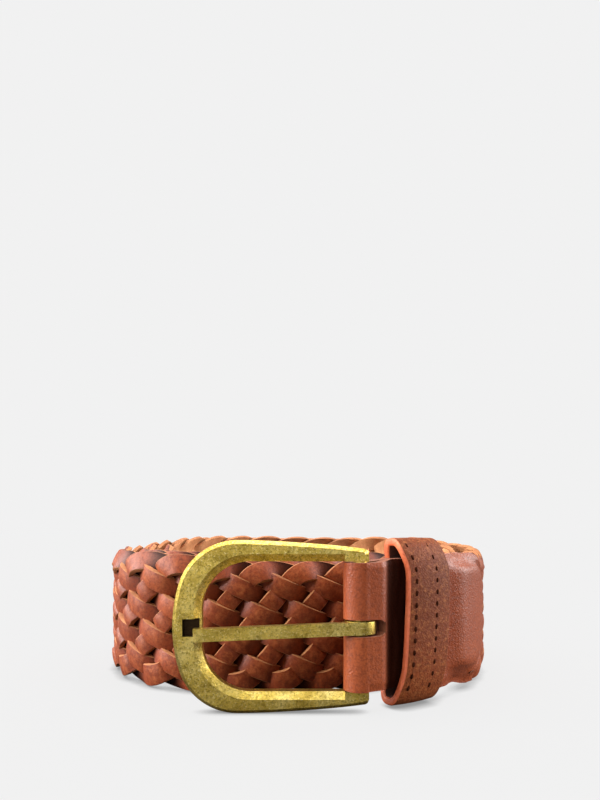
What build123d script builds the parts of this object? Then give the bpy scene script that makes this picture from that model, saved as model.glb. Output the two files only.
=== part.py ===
"""Braided leather belt, coiled and standing on its edge, with a brass heel-bar buckle.

Millimetres, Z up. The coil's axis is near x = y = 0, the buckle is at the front (-Y), its nose points to -X.
The belt's mid-line is a chain of tangent arcs in plan, from the buckle bar anticlockwise and inwards.
"""
import math
import os

from build123d import *

# belt mid-line in plan
BAR_X, BAR_Y = 14.9, -64.0
SHIFT = (1.0, 2.07)
START_HEADING = 22.0
PITCH = 7.0
TAB_R = 70.0
OUTER_TURN = [(TAB_R, 100.0), (59.6, 290.0), (45.0, 330.0), (34.0, 352.0), (125.0, 368.0)]
LEAD_IN_R = 48.175
LEAD_IN_STRAIGHT = 1.27
TIP_CURVE = [(31.0, 1150.0), (36.0, 1212.0)]

# braided strap
BRAID_T = 5.0
BRAID_H = 38.4
BRAID_START = 36.5
JOINT_GAP = 0.05

# leather tab folded round the bar
FOLD_R = 4.15
BORE_R = 1.95
TAB_HALF_T = 2.4
TAB_OVER_BRAID = 4.2
TAB_Z0, TAB_Z1 = 5.4, 35.9
TAB_TOP_Z = 37.8
FOLD_Z0, FOLD_Z1 = 5.7, 37.0
TAB_END_S = 48.0
TAB_ROUND = 14.0
TAB_STITCH_INSET = 1.7
SLOT_H = 4.4
SLOT_END = 5.9

# buckle
FRAME_T = 4.4
FRAME_H = 42.5
NOSE_X, NOSE_IN_X, ARM_TIP_X = -31.4, -24.2, 16.9
WINDOW_Z0, WINDOW_Z1 = 5.3, 37.3
NOSE_R, OUTER_CORNER, INNER_CORNER = 36.0, 15.0, 12.0
ARM_TAPER = 2.1
ARM_TIP_R = 1.2
OUTER_CHAMFER, BACK_CHAMFER = 0.9, 0.5
INNER_SLOPE_W, INNER_SLOPE_T = 1.8, 1.3
SLOPE_END_X = 11.0
NOTCH_X = -28.8
NOTCH_Z0, NOTCH_Z1 = 18.9, 23.2
NOTCH_DEPTH = 1.7
BAR_R = 1.8
BAR_GRIP = 2.0

# tongue
TONGUE_W = 3.1
TONGUE_T = 2.6
TONGUE_TIP_X = -25.9
TONGUE_RING_R = 3.9
TONGUE_BORE_R = 1.88
TONGUE_Z = 21.1
TONGUE_DROP = 2.2

# keeper loop
KEEPER_S = 17.6
KEEPER_W = 13.6
KEEPER_WALL = 2.0
KEEPER_IN, KEEPER_OUT = 4.6, 4.9
KEEPER_Z0, KEEPER_Z1 = 1.2, 43.0
KEEPER_STITCH_ROW = 3.9

# stitches
STITCH_R = 0.35
STITCH_L = 2.0
STITCH_PITCH = 3.6

# tip tab
TIP_Z0, TIP_Z1 = 2.7, 35.7
TIP_ROUND = 20.0


def chain():
    """All arcs of the mid-line as (radius, end heading); radius 0 is a straight run of that length."""
    arcs = list(OUTER_TURN)
    for turn in (1, 2):
        lead = LEAD_IN_R - (turn - 1) * PITCH
        base = 360.0 * turn
        arcs += [(lead, base + 80.0), (0.0, LEAD_IN_STRAIGHT), (lead, base + 100.0)]
        arcs += [(r - PITCH * turn, base + h) for r, h in OUTER_TURN[1:]]
    return arcs + TIP_CURVE


def pieces():
    """Each arc of the mid-line as (start length, length, x, y, heading, radius)."""
    out, x, y, h, s = [], BAR_X, BAR_Y, math.radians(START_HEADING), 0.0
    for r, end in chain():
        if r == 0.0:
            out.append((s, end, x, y, h, 0.0))
            x, y, s = x + end * math.cos(h), y + end * math.sin(h), s + end
            continue
        h1 = math.radians(end)
        out.append((s, r * (h1 - h), x, y, h, r))
        x, y = x + r * (math.sin(h1) - math.sin(h)), y - r * (math.cos(h1) - math.cos(h))
        s, h = s + r * (h1 - h), h1
    return out


PIECES = pieces()
BELT_END_S = PIECES[-1][0] + PIECES[-1][1]
TURN_1_END_S = PIECES[5][0]
TURN_2_END_S = PIECES[12][0]
BRAID_END_S = PIECES[19][0] + 20.0
TIP_START_S = BRAID_END_S - 14.0


def at(s, off=0.0):
    """Point on the mid-line at length s, moved off outwards, and the heading there."""
    s0, length, x, y, h, r = next((p for p in PIECES if s <= p[0] + p[1]), PIECES[-1])
    d = s - s0
    if r == 0.0:
        x, y, h1 = x + d * math.cos(h), y + d * math.sin(h), h
    else:
        h1 = h + d / r
        x, y = x + r * (math.sin(h1) - math.sin(h)), y - r * (math.cos(h1) - math.cos(h))
    return x + off * math.sin(h1), y - off * math.cos(h1), h1


def side(s0, s1, offset):
    """Smooth curve along the belt from s0 to s1 at offset(s)."""
    n = max(4, int(abs(s1 - s0) / 1.6))
    steps = [s0 + (s1 - s0) * i / n for i in range(n + 1)]
    return Spline(*[at(s, offset(s))[:2] for s in steps])


def arcs_side(s0, s1, off):
    """The same curve at a constant offset, as true arcs."""
    cuts = [s0] + [p[0] for p in PIECES if s0 + 1e-6 < p[0] < s1 - 1e-6] + [s1]
    edges = []
    for a, b in zip(cuts, cuts[1:]):
        ends = at(a + 1e-9, off)[:2], at((a + b) / 2, off)[:2], at(b, off)[:2]
        straight = any(p[5] == 0.0 and abs(p[0] - a) < 1e-6 for p in PIECES)
        edges.append(Line(ends[0], ends[2]) if straight else ThreePointArc(*ends))
    return edges


def strip(s0, s1, inner, outer, z0, z1):
    """Upright strip of the belt between two constant offsets."""
    a, b = arcs_side(s0, s1, outer), arcs_side(s0, s1, inner)
    caps = [Line(at(s, inner)[:2], at(s, outer)[:2]) for s in (s0 + 1e-9, s1)]
    return upright(a + b + caps, z0, z1)


def upright(edges, z0, z1):
    wire = Wire.combine([e.edge() for e in edges], tol=1e-3)[0]
    return extrude(Pos(0, 0, z0) * Face(wire), z1 - z0, dir=(0, 0, 1))


def smooth(s, s0, s1, a, b):
    t = min(max((s - s0) / (s1 - s0), 0.0), 1.0)
    return a + (b - a) * t * t * (3 - 2 * t)


def tab_skin(s):
    """Half thickness of the folded tab: round over the bar, thin inside the keeper, thick over the braid."""
    if s < 9.0:
        return smooth(s, 0.0, 9.0, FOLD_R, TAB_HALF_T)
    if s < 40.0:
        return smooth(s, 29.0, 38.0, TAB_HALF_T, TAB_OVER_BRAID)
    return smooth(s, 40.0, TAB_END_S, TAB_OVER_BRAID, TAB_OVER_BRAID - 0.6)


def tab_core(s):
    """Half width of the space between the tab's two layers."""
    if s < 6.0:
        return smooth(s, 0.0, 6.0, BORE_R, 0.1)
    return smooth(s, 29.0, 36.0, 0.1, BRAID_T / 2 + 0.03)


def rounded_end(s_end, reach, z0, z1, sign=1):
    """Cutter that leaves a rounded end on a tab: everything past the curve goes."""
    x, y, h = at(s_end - sign * reach)
    t = Vector(math.cos(h), math.sin(h), 0) * sign
    plane = Plane(origin=(x, y, (z0 + z1) / 2), x_dir=t, z_dir=(math.sin(h), -math.cos(h), 0))
    half = (z1 - z0) / 2
    block = Pos(reach, 0) * Rectangle(2 * reach, 4 * half) - Ellipse(reach, half)
    return extrude(plane * block, 14, both=True)


def wedge(points):
    """Prism across the fold, from (x, z) points."""
    face = Plane.XZ * make_face(Polyline(*points, close=True))
    return extrude(Pos(0, 10, 0) * face, 100, dir=(0, -1, 0))


def folded_tab():
    edges = [
        side(TAB_END_S, 0.0, tab_skin),
        ThreePointArc(at(0, FOLD_R)[:2], behind_bar(FOLD_R), at(0, -FOLD_R)[:2]),
        side(0.0, TAB_END_S, lambda s: -tab_skin(s)),
        Line(at(TAB_END_S, -tab_skin(TAB_END_S))[:2], at(TAB_END_S, -tab_core(TAB_END_S))[:2]),
        side(TAB_END_S, 0.0, lambda s: -tab_core(s)),
        ThreePointArc(at(0, -BORE_R)[:2], behind_bar(BORE_R), at(0, BORE_R)[:2]),
        side(0.0, TAB_END_S, tab_core),
        Line(at(TAB_END_S, tab_core(TAB_END_S))[:2], at(TAB_END_S, tab_skin(TAB_END_S))[:2]),
    ]
    tab = upright(edges, TAB_Z0, TAB_TOP_Z)
    above = [(0, 60), (0, FOLD_Z1), (19, FOLD_Z1), (24, TAB_TOP_Z), (28, TAB_TOP_Z), (40, TAB_Z1), (40, 60)]
    tab -= wedge(above)
    tab -= wedge([(40, 60), (40, TAB_Z1), (80, TAB_Z1), (80, 60)])
    tab -= wedge([(0, -20), (0, FOLD_Z0), (20, FOLD_Z0), (46, TAB_Z0), (46, -20)])
    tab -= rounded_end(TAB_END_S, TAB_ROUND, TAB_Z0 - 0.2, TAB_Z1 + 0.2)
    slot = Pos((SLOT_END - 8) / 2, 0, 0) * Box(SLOT_END + 8, 16, SLOT_H)
    return tab - Pos(BAR_X, BAR_Y, TONGUE_Z) * Rot(0, 0, START_HEADING) * slot


def behind_bar(r):
    h = math.radians(START_HEADING)
    return BAR_X - r * math.cos(h), BAR_Y - r * math.sin(h)


def nose_arcs():
    """Centre of the upper corner arc, and the end of the nose arc that runs into it."""
    r, mid = NOSE_R - OUTER_CORNER, FRAME_H / 2
    rise = FRAME_H - OUTER_CORNER - mid
    run = math.sqrt(r * r - rise * rise)
    centre_x = NOSE_X + NOSE_R
    join = (centre_x - NOSE_R * run / r, mid + NOSE_R * rise / r)
    return centre_x - run, join


def mirrored(p):
    return p[0], FRAME_H - p[1]


def outer_outline():
    """Half of the frame's outer outline, from the middle of the nose to the tip of the upper arm."""
    corner_x, join = nose_arcs()
    a0 = math.atan2(join[1] - FRAME_H + OUTER_CORNER, join[0] - corner_x)
    bend = (a0 + math.pi / 2) / 2
    half = math.atan2(join[1] - FRAME_H / 2, NOSE_X + NOSE_R - join[0]) / 2
    near = (NOSE_X + NOSE_R - NOSE_R * math.cos(half), FRAME_H / 2 + NOSE_R * math.sin(half))
    mid = (corner_x + OUTER_CORNER * math.cos(bend), FRAME_H - OUTER_CORNER + OUTER_CORNER * math.sin(bend))
    top = (corner_x, FRAME_H)
    shoulder = (ARM_TIP_X - ARM_TIP_R, FRAME_H - ARM_TAPER)
    k = ARM_TIP_R * math.sqrt(0.5)
    round_mid = (shoulder[0] + k, shoulder[1] - ARM_TIP_R + k)
    end = (ARM_TIP_X, shoulder[1] - ARM_TIP_R)
    return [(NOSE_X, FRAME_H / 2), near, join, mid, top, (-1.0, FRAME_H - 0.55), shoulder, round_mid, end]


def half_outline(points):
    nose, near, join, mid, top, waist, shoulder, round_mid, end = points
    slope = 1 if top[1] < FRAME_H / 2 else -1
    return [
        ThreePointArc(nose, near, join),
        ThreePointArc(join, mid, top),
        Spline(top, waist, shoulder, tangents=[(1, 0), (1, 0.14 * slope)]),
        ThreePointArc(shoulder, round_mid, end),
    ]


def buckle_frame():
    upper = outer_outline()
    outer = half_outline(upper) + half_outline([mirrored(p) for p in upper])
    inner = [
        Line(upper[-1], (ARM_TIP_X, WINDOW_Z1)),
        Line((ARM_TIP_X, WINDOW_Z1), (NOSE_IN_X + INNER_CORNER, WINDOW_Z1)),
        inner_corner(WINDOW_Z1, -1),
        Line((NOSE_IN_X, WINDOW_Z1 - INNER_CORNER), (NOSE_IN_X, WINDOW_Z0 + INNER_CORNER)),
        inner_corner(WINDOW_Z0, 1),
        Line((NOSE_IN_X + INNER_CORNER, WINDOW_Z0), (ARM_TIP_X, WINDOW_Z0)),
        Line((ARM_TIP_X, WINDOW_Z0), mirrored(upper[-1])),
    ]
    wire = Wire.combine([e.edge() for e in outer + inner], tol=1e-3)[0]
    frame = extrude(Plane.XZ * Face(wire), FRAME_T / 2, both=True)
    front = frame.faces().sort_by(Axis.Y)[0]
    rim = [e for e in front.edges() if on_outline(e.position_at(0.5))]
    frame = chamfer(rim, OUTER_CHAMFER)
    front = frame.faces().sort_by(Axis.Y)[0]
    window = [e for e in front.edges() if in_window(e.position_at(0.5))]
    frame = chamfer(window, INNER_SLOPE_W, INNER_SLOPE_T, reference=front)
    frame = chamfer(frame.faces().sort_by(Axis.Y)[-1].edges(), BACK_CHAMFER)
    frame = Pos(0, BAR_Y, 0) * (frame + arm_root(WINDOW_Z0, -1) + arm_root(WINDOW_Z1, 1))
    notch_len = NOSE_IN_X + 1 - NOTCH_X
    notch = Box(notch_len, 2 * NOTCH_DEPTH, NOTCH_Z1 - NOTCH_Z0)
    frame -= Pos(NOTCH_X + notch_len / 2, BAR_Y - FRAME_T / 2, (NOTCH_Z0 + NOTCH_Z1) / 2) * notch
    return frame - bar()


def arm_root(z, up):
    """Full section at the end of an arm, where the inner slope stops short of the bar."""
    y0, y1 = -FRAME_T / 2, -FRAME_T / 2 + INNER_SLOPE_T
    z1 = z + up * INNER_SLOPE_W
    corners = [(SLOPE_END_X, y, h) for y, h in ((y0, z1), (y1, z1), (y1, z), (y0, z))]
    return extrude(make_face(Polyline(*corners, close=True)), ARM_TIP_X - SLOPE_END_X, dir=(1, 0, 0))


def in_window(p, margin=0.1):
    """True for a point on the window's rim, and not on the arms' ends."""
    inside = WINDOW_Z0 - margin < p.Z < WINDOW_Z1 + margin
    return inside and NOSE_IN_X - margin < p.X < ARM_TIP_X - margin


def on_outline(p):
    """True for a point on the frame's outer rim, and not on the arms' ends."""
    return not in_window(p) and p.X < ARM_TIP_X - 0.01


def inner_corner(z, up):
    k = INNER_CORNER * (1 - math.sqrt(0.5))
    a = (NOSE_IN_X + INNER_CORNER, z)
    b = (NOSE_IN_X, z + up * INNER_CORNER)
    mid = (NOSE_IN_X + k, z + up * k)
    return ThreePointArc(a, mid, b) if up < 0 else ThreePointArc(b, mid, a)


def bar():
    z0, z1 = WINDOW_Z0 - BAR_GRIP, WINDOW_Z1 + BAR_GRIP
    return Pos(BAR_X, BAR_Y, (z0 + z1) / 2) * Cylinder(BAR_R, z1 - z0)


def tongue():
    rest = BAR_Y - FRAME_T / 2 - 0.15
    tip_len = BAR_X - TONGUE_TIP_X
    shape = [
        (0, BAR_Y - TONGUE_RING_R),
        (-tip_len + 0.8, rest - TONGUE_T),
        (-tip_len, rest - TONGUE_T + 0.8),
        (-tip_len, rest),
        (-12, rest + 0.4),
        (0, BAR_Y - BAR_R),
    ]
    shank = make_face(Polyline(*[(x, y - BAR_Y) for x, y in shape], close=True))
    shank = Rot(0, -TONGUE_DROP, 0) * extrude(shank, TONGUE_W / 2, both=True)
    ring = Cylinder(TONGUE_RING_R, TONGUE_W)
    whole = shank + ring - Cylinder(TONGUE_BORE_R, 3 * TONGUE_W)
    return Pos(BAR_X, BAR_Y, TONGUE_Z) * whole


def tab_centre():
    h = math.radians(START_HEADING)
    return BAR_X - TAB_R * math.sin(h), BAR_Y + TAB_R * math.cos(h)


def keeper():
    """Ring round the tab, bent to the tab's own arc so that it can slide."""
    r0, r1 = TAB_R - KEEPER_IN, TAB_R + KEEPER_OUT
    mid_r, mid_z = (r0 + r1) / 2, (KEEPER_Z0 + KEEPER_Z1) / 2
    w, hgt = r1 - r0, KEEPER_Z1 - KEEPER_Z0
    ring = RectangleRounded(w, hgt, 4.0)
    ring -= RectangleRounded(w - 2 * KEEPER_WALL, hgt - 2 * KEEPER_WALL, 2.0)
    arc = math.degrees(KEEPER_W / TAB_R)
    start = START_HEADING + math.degrees((KEEPER_S - KEEPER_W / 2) / TAB_R) - 90
    x, y = tab_centre()
    solid = revolve(Plane.XZ * Pos(mid_r, mid_z) * ring, Axis.Z, arc)
    return Pos(x, y, 0) * Rot(0, 0, start) * solid


def stitch(length):
    return Cylinder(STITCH_R, length)


def keeper_stitching():
    """Two upright rows of stitches, half sunk in the keeper's face."""
    x, y = tab_centre()
    r = TAB_R + KEEPER_OUT + 0.1
    rows = []
    for along in (-KEEPER_STITCH_ROW, KEEPER_STITCH_ROW):
        h = math.radians(START_HEADING) + (KEEPER_S + along) / TAB_R
        for i in range(9):
            z = (KEEPER_Z0 + KEEPER_Z1) / 2 + (i - 4) * STITCH_PITCH
            rows.append(Pos(x + r * math.sin(h), y - r * math.cos(h), z) * stitch(STITCH_L))
    return Compound(children=rows)


def end_stitching(s_end, reach, z0, z1, skin, inset, outward):
    """A row of stitches following a tab's rounded end, half sunk in its face."""
    rows = []
    half, mid = (z1 - z0) / 2 - inset, (z0 + z1) / 2
    for i in range(-5, 6):
        a = math.radians(15.5 * i)
        s = s_end - reach + (reach - inset) * math.cos(a)
        x, y, h = at(s, outward * (skin(s) + 0.1))
        slope = math.atan2(half * math.cos(a), -(reach - inset) * math.sin(a))
        turn = Rot(0, 0, math.degrees(h)) * Rot(0, 90 - math.degrees(slope), 0)
        rows.append(Pos(x, y, mid + half * math.sin(a)) * turn * stitch(STITCH_L))
    return Compound(children=rows)


def tip_skin(s):
    return smooth(s, BRAID_END_S, BRAID_END_S + 8, BRAID_T / 2 + 1.3, 1.7)


def tip_core(s):
    return smooth(s, BRAID_END_S + 1.0, BRAID_END_S + 8, BRAID_T / 2 + 0.03, 0.03)


def tip_layer(sign):
    a, b = TIP_START_S, BELT_END_S
    edges = [
        side(a, b, lambda s: sign * tip_skin(s)),
        Line(at(b, sign * tip_skin(b))[:2], at(b, sign * tip_core(b))[:2]),
        side(b, a, lambda s: sign * tip_core(s)),
        Line(at(a, sign * tip_core(a))[:2], at(a, sign * tip_skin(a))[:2]),
    ]
    return upright(edges, TIP_Z0, TIP_Z1) - rounded_end(b, TIP_ROUND, TIP_Z0, TIP_Z1)


def braid_run(s0, s1):
    return strip(s0, s1, -BRAID_T / 2, BRAID_T / 2, 0, BRAID_H)


def write(name, shape):
    """Saves a node, moved so that the whole belt's bounding box stands centred on the origin."""
    shape = Pos(*SHIFT, 0) * shape
    export_step(shape, f"parts/{name}.step")
    box = shape.bounding_box()
    print(name, round(shape.volume, 1), box.min, box.max, shape.is_valid)


os.makedirs("parts", exist_ok=True)
write("buckle_frame", buckle_frame())
write("buckle_bar", bar())
write("tongue", tongue())
write("chape", folded_tab())
write("chape_stitching", end_stitching(TAB_END_S, TAB_ROUND, TAB_Z0, TAB_Z1, tab_skin, TAB_STITCH_INSET, 1))
write("keeper", keeper())
write("keeper_stitching", keeper_stitching())
write("braid_outer_turn", braid_run(BRAID_START, TURN_1_END_S - JOINT_GAP / 2))
write("braid_middle_turn", braid_run(TURN_1_END_S + JOINT_GAP / 2, TURN_2_END_S - JOINT_GAP / 2))
write("braid_inner_turn", braid_run(TURN_2_END_S + JOINT_GAP / 2, BRAID_END_S))
write("tip_tab_front", tip_layer(1))
write("tip_tab_back", tip_layer(-1))
write("tip_stitching", end_stitching(BELT_END_S, TIP_ROUND, TIP_Z0, TIP_Z1, tip_skin, 2.6, 1))
print("belt length", round(BELT_END_S, 1), "braid ends", round(BRAID_END_S, 1))
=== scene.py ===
"""Looks of the braided leather belt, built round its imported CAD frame."""
import math
import random

import bpy
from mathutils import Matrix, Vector


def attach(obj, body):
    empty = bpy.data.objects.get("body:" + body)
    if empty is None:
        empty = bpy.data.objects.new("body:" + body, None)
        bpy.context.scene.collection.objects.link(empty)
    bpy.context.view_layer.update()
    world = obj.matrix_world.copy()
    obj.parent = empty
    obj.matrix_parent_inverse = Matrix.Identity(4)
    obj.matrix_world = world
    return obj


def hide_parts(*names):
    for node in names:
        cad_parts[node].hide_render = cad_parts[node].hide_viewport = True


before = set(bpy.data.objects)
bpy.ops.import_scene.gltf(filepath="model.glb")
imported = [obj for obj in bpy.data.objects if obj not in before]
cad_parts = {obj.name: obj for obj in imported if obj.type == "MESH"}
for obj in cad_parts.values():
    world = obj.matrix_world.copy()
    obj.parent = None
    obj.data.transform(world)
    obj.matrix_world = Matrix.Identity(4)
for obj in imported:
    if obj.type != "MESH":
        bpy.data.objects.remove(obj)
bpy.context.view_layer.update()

MM = 0.001

# The belt's mid-line in plan, in millimetres: tangent arcs from the buckle bar, anticlockwise and inwards.
BAR_X, BAR_Y = 15.9, -61.93
START_HEADING = 22.0
PITCH = 7.0
TAB_R = 70.0
OUTER_TURN = [(TAB_R, 100.0), (59.6, 290.0), (45.0, 330.0), (34.0, 352.0), (125.0, 368.0)]
LEAD_IN_R = 48.175
LEAD_IN_STRAIGHT = 1.27
TIP_CURVE = [(31.0, 1150.0), (36.0, 1212.0)]

# Braid: ten laces, over one and under one. A lace runs down in ten steps and up in ten.
LACES = 10
BRAID_T = 5.0
BRAID_MID_Z = 19.2
LEVEL = 3.84
DOWN_STEP, UP_STEP = 8.7, 3.1
LACE_SPACING = DOWN_STEP + UP_STEP
LACE_W, LACE_T = 5.2, 1.4
LACE_CROWN = 0.16
LACE_CUT = 0.17
LACE_ROLL = 7.0
WEAVE_LIFT = 1.3
HEAD_TURN, FOOT_TURN = 1.3, 1.8
EDGE_TILT_TOP, EDGE_TILT_FOOT = 30.0, 12.0
TURN_REACH = 1.1
LACE_STEPS = 8
BRAID_START, BRAID_END = 31.0, 992.0

# How the braid differs along the coil. Each turn's rise, outermost first, is round the back and at the back
# left. The other lengths say where it is pulled longer, tucked into the tab, and narrower behind the window.
BACK_RISE = (1.5, 2.7, 3.5)
LEFT_RISE = (0.1, 0.9, 0.9)
LEFT_HEADING = 222.0
PULLED_FROM, PULLED_TO, PULLED_BY = 285.0, 325.0, 10.3
PULLED_MID, PULLED_REACH = 303.0, 24.0
TUCKED_UNTIL, FULL_FROM = 34.0, 42.0
WINDOW_FROM, WINDOW_TO = 322.0, 400.0

# Folded tab, keeper and tip
FOLD_R = 4.15
TAB_HALF_T = 2.3
BORE_R = 2.1
LAYER_GAP = 0.1
TAB_OVER_BRAID = 4.2
TAB_Z0, TAB_Z1 = 5.4, 35.9
TAB_TOP_Z = 37.8
FOLD_Z0, FOLD_Z1 = 5.7, 37.0
TAB_END_S = 50.0
TAB_ROUND, TAB_SQUARE = 12.0, 2.8
SLOT_Z0, SLOT_Z1 = 19.0, 23.1
SLOT_STRAIGHT, SLOT_END = 3.1, 5.1
TAB_GROOVE = 2.4
KEEPER_S, KEEPER_W, KEEPER_WALL = 17.4, 14.0, 2.0
KEEPER_IN, KEEPER_OUT = 4.6, 4.9
KEEPER_Z0, KEEPER_Z1 = 0.7, 43.0
KEEPER_BOW = 0.9
KEEPER_EDGE_R = 0.55
TIP_Z0, TIP_Z1 = 2.7, 35.7
TIP_ROUND = 20.0
TIP_GROOVE = 2.6

# Stitches: thread radius, length of one stitch and how far each row's stitches are apart
THREAD_R = 0.24
STITCH_L = 1.9
TAB_STITCH_PITCH, STITCH_SHARE = 3.0, 0.62
KEEPER_ROWS = (-4.9, 1.8)
KEEPER_STITCHES, KEEPER_PITCH = 13, 2.95
HOLE_R, HOLE_L = 0.46, 0.5
TIP_STITCHES = 17


# ---------------------------------------------------------------- belt mid-line

def chain():
    """The coil's arcs as (radius, heading at the end). A straight run has radius 0 and then its length."""
    arcs = list(OUTER_TURN)
    for turn in (1, 2):
        lead = LEAD_IN_R - (turn - 1) * PITCH
        base = 360.0 * turn
        arcs += [(lead, base + 80.0), (0.0, LEAD_IN_STRAIGHT), (lead, base + 100.0)]
        arcs += [(r - PITCH * turn, base + h) for r, h in OUTER_TURN[1:]]
    return arcs + TIP_CURVE


def pieces():
    """Each arc as (start length, length, x, y, heading, radius)."""
    out, x, y, h, s = [], BAR_X, BAR_Y, math.radians(START_HEADING), 0.0
    for r, end in chain():
        if r == 0.0:
            out.append((s, end, x, y, h, 0.0))
            x, y, s = x + end * math.cos(h), y + end * math.sin(h), s + end
            continue
        h1 = math.radians(end)
        out.append((s, r * (h1 - h), x, y, h, r))
        x, y = x + r * (math.sin(h1) - math.sin(h)), y - r * (math.cos(h1) - math.cos(h))
        s, h = s + r * (h1 - h), h1
    return out


PIECES = pieces()
BELT_END = PIECES[-1][0] + PIECES[-1][1]
LAST_TURN_END = PIECES[-len(TIP_CURVE)][0]
TIP_START = LAST_TURN_END + 6.0
TIP_FLAT = LAST_TURN_END + 20.0


def plan(s):
    """Point and heading of the mid-line at length s."""
    s0, _, x, y, h, r = next((p for p in PIECES if s <= p[0] + p[1]), PIECES[-1])
    d = s - s0
    if r == 0.0:
        return x + d * math.cos(h), y + d * math.sin(h), h
    h1 = h + d / r
    return x + r * (math.sin(h1) - math.sin(h)), y - r * (math.cos(h1) - math.cos(h)), h1


def place(s, off, z):
    """World point in metres from length along, offset outwards and height."""
    x, y, h = plan(s)
    return Vector(((x + off * math.sin(h)) * MM, (y - off * math.cos(h)) * MM, z * MM))


def outward(s):
    """Level direction away from the coil's middle."""
    h = plan(s)[2]
    return Vector((math.sin(h), -math.cos(h), 0.0))


def smooth(x, a, b, lo=0.0, hi=1.0):
    """Soft step from lo at a to hi at b."""
    t = min(max((x - a) / (b - a), 0.0), 1.0)
    return lo + (hi - lo) * t * t * (3 - 2 * t)


# ---------------------------------------------------------------- material nodes

def new_material(name):
    mat = bpy.data.materials.new(name)
    mat.use_nodes = True
    nt = mat.node_tree
    return mat, nt, nt.nodes["Principled BSDF"]


def node(nt, kind, inputs=None, **props):
    n = nt.nodes.new(kind)
    for k, v in props.items():
        setattr(n, k, v)
    for k, v in (inputs or {}).items():
        n.inputs[k].default_value = v
    return n


def noise(nt, coord, scale, detail=3.0, rough=0.55):
    n = node(nt, "ShaderNodeTexNoise", {"Scale": scale, "Detail": detail, "Roughness": rough})
    nt.links.new(coord, n.inputs["Vector"])
    return n.outputs["Fac"]


def ramp(nt, fac, stops):
    """Colour ramp from (position, colour) stops."""
    n = node(nt, "ShaderNodeValToRGB")
    e = n.color_ramp.elements
    while len(e) < len(stops):
        e.new(0.5)
    for i, (pos, col) in enumerate(stops):
        e[i].position = pos
        e[i].color = (*col, 1.0)
    nt.links.new(fac, n.inputs["Fac"])
    return n.outputs["Color"]


def span(nt, fac, a, b, lo=0.0, hi=1.0):
    """Straight ramp of a value from lo at a to hi at b."""
    n = node(nt, "ShaderNodeMapRange")
    for k, v in zip(("From Min", "From Max", "To Min", "To Max"), (a, b, lo, hi)):
        n.inputs[k].default_value = v
    nt.links.new(fac, n.inputs["Value"])
    return n.outputs["Result"]


def mixed(nt, fac, a, b):
    """Colour a blended into colour b by fac. Each is a socket or a constant."""
    n = node(nt, "ShaderNodeMix", data_type="RGBA")
    for value, sock in ((fac, n.inputs[0]), (a, n.inputs[6]), (b, n.inputs[7])):
        if isinstance(value, (float, int)):
            sock.default_value = value
        elif isinstance(value, tuple):
            sock.default_value = (*value, 1.0)
        else:
            nt.links.new(value, sock)
    return n.outputs[2]


def product(nt, a, b):
    n = node(nt, "ShaderNodeMath", operation="MULTIPLY")
    nt.links.new(a, n.inputs[0])
    nt.links.new(b, n.inputs[1])
    return n.outputs[0]


def bump(nt, height, strength, distance, normal=None):
    n = node(nt, "ShaderNodeBump", {"Strength": strength, "Distance": distance})
    nt.links.new(height, n.inputs["Height"])
    if normal is not None:
        nt.links.new(normal, n.inputs["Normal"])
    return n.outputs["Normal"]


def object_coord(nt):
    return node(nt, "ShaderNodeTexCoord").outputs["Object"]


# Painted shade: the near black brown that stands in for shade in the braid's crevices and by the keeper.
PAINTED_SHADE = (0.014, 0.0035, 0.002)


def leather(name, tones, grain, rough, depth, worn, sheen, tone_attr=False):
    """Finished leather: mottled tones, a fine pebbled grain and pores, with worn high spots.

    With tone_attr, the piece's "tone" attribute runs from 0, dark with painted shade and little sheen, to 1,
    worn and light.
    """
    mat, nt, bsdf = new_material(name)
    co = object_coord(nt)
    cloud = noise(nt, co, 45.0, 3.0, 0.5)
    colour = ramp(nt, cloud, [(0.2, tones[0]), (0.5, tones[1]), (0.8, tones[2])])
    speck = noise(nt, co, 1400.0, 4.0, 0.65)
    colour = mixed(nt, span(nt, speck, 0.44, 0.64, 0.0, 0.75), colour, tones[0])
    if tone_attr:
        tone = node(nt, "ShaderNodeAttribute", attribute_name="tone").outputs["Fac"]
        # Painted shade: where the tone is below 0.5 the colour darkens towards the near black brown.
        colour = mixed(nt, span(nt, tone, 0.0, 0.5, 0.95, 0.0), colour, PAINTED_SHADE)
        wear = span(nt, noise(nt, co, 520.0, 6.0, 0.8), 0.45, 0.68)
        wear = product(nt, span(nt, tone, 0.6, 1.0, 0.0, 0.6), wear)
        nt.links.new(span(nt, tone, 0.0, 0.4, 0.05, sheen), bsdf.inputs["Specular IOR Level"])
    else:
        wear = span(nt, noise(nt, co, 900.0, 6.0, 0.8), 0.5, 0.66, 0.0, 0.6)
        bsdf.inputs["Specular IOR Level"].default_value = sheen
    colour = mixed(nt, wear, colour, worn)
    nt.links.new(colour, bsdf.inputs["Base Color"])
    nt.links.new(span(nt, speck, 0.3, 0.7, rough[0], rough[1]), bsdf.inputs["Roughness"])
    cells = node(nt, "ShaderNodeTexVoronoi", {"Scale": grain}, feature="SMOOTH_F1")
    nt.links.new(co, cells.inputs["Vector"])
    normal = bump(nt, cells.outputs["Distance"], depth, 0.00025)
    normal = bump(nt, noise(nt, co, 900.0, 3.0, 0.6), depth, 0.0002, normal)
    normal = bump(nt, noise(nt, co, 190.0, 3.0, 0.5), depth * 0.5, 0.0004, normal)
    nt.links.new(normal, bsdf.inputs["Normal"])
    return mat


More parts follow.
